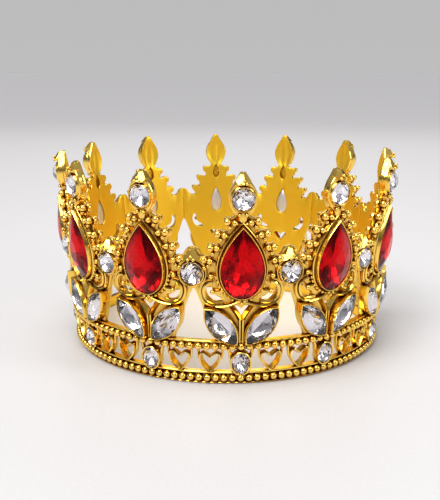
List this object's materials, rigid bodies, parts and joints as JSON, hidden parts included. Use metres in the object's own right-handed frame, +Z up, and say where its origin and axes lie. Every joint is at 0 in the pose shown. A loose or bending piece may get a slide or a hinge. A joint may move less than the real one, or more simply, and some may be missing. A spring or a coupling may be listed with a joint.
{
  "type": "costume crown",
  "caption": "Full-round openwork costume crown with pointed leaves, beaded rails and glass stones in cup settings.",
  "frame": {"origin": "on the crown's axis, in the plane of the lower rim that it stands on", "axes": "+Z up along the crown's axis; -Y towards the middle of panel_01, which is the front"},
  "size_m": [0.123, 0.123, 0.066],
  "materials": {
    "gold_plate": "polished",
    "ruby_glass": "faceted, foil-backed",
    "clear_glass": "faceted, foil-backed"
  },
  "bodies": {
    "root": {"panel_01": "gold_plate", "panel_02": "gold_plate", "panel_03": "gold_plate", "panel_04": "gold_plate", "panel_05": "gold_plate", "panel_06": "gold_plate", "panel_07": "gold_plate", "panel_08": "gold_plate", "panel_09": "gold_plate", "panel_10": "gold_plate", "panel_11": "gold_plate", "panel_12": "gold_plate", "pear_stone_01": "ruby_glass", "pear_stone_02": "ruby_glass", "pear_stone_03": "ruby_glass", "pear_stone_04": "ruby_glass", "pear_stone_05": "ruby_glass", "pear_stone_06": "ruby_glass", "pear_stone_07": "ruby_glass", "pear_stone_08": "ruby_glass", "pear_stone_09": "ruby_glass", "pear_stone_10": "ruby_glass", "pear_stone_11": "ruby_glass", "pear_stone_12": "ruby_glass", "crest_stone_01": "clear_glass", "crest_stone_02": "clear_glass", "crest_stone_03": "clear_glass", "crest_stone_04": "clear_glass", "crest_stone_05": "clear_glass", "crest_stone_06": "clear_glass", "crest_stone_07": "clear_glass", "crest_stone_08": "clear_glass", "crest_stone_09": "clear_glass", "crest_stone_10": "clear_glass", "crest_stone_11": "clear_glass", "crest_stone_12": "clear_glass", "left_navette_stone_01": "clear_glass", "left_navette_stone_02": "clear_glass", "left_navette_stone_03": "clear_glass", "left_navette_stone_04": "clear_glass", "left_navette_stone_05": "clear_glass", "left_navette_stone_06": "clear_glass", "left_navette_stone_07": "clear_glass", "left_navette_stone_08": "clear_glass", "left_navette_stone_09": "clear_glass", "left_navette_stone_10": "clear_glass", "left_navette_stone_11": "clear_glass", "left_navette_stone_12": "clear_glass", "right_navette_stone_01": "clear_glass", "right_navette_stone_02": "clear_glass", "right_navette_stone_03": "clear_glass", "right_navette_stone_04": "clear_glass", "right_navette_stone_05": "clear_glass", "right_navette_stone_06": "clear_glass", "right_navette_stone_07": "clear_glass", "right_navette_stone_08": "clear_glass", "right_navette_stone_09": "clear_glass", "right_navette_stone_10": "clear_glass", "right_navette_stone_11": "clear_glass", "right_navette_stone_12": "clear_glass"}
  },
  "joints": []
}
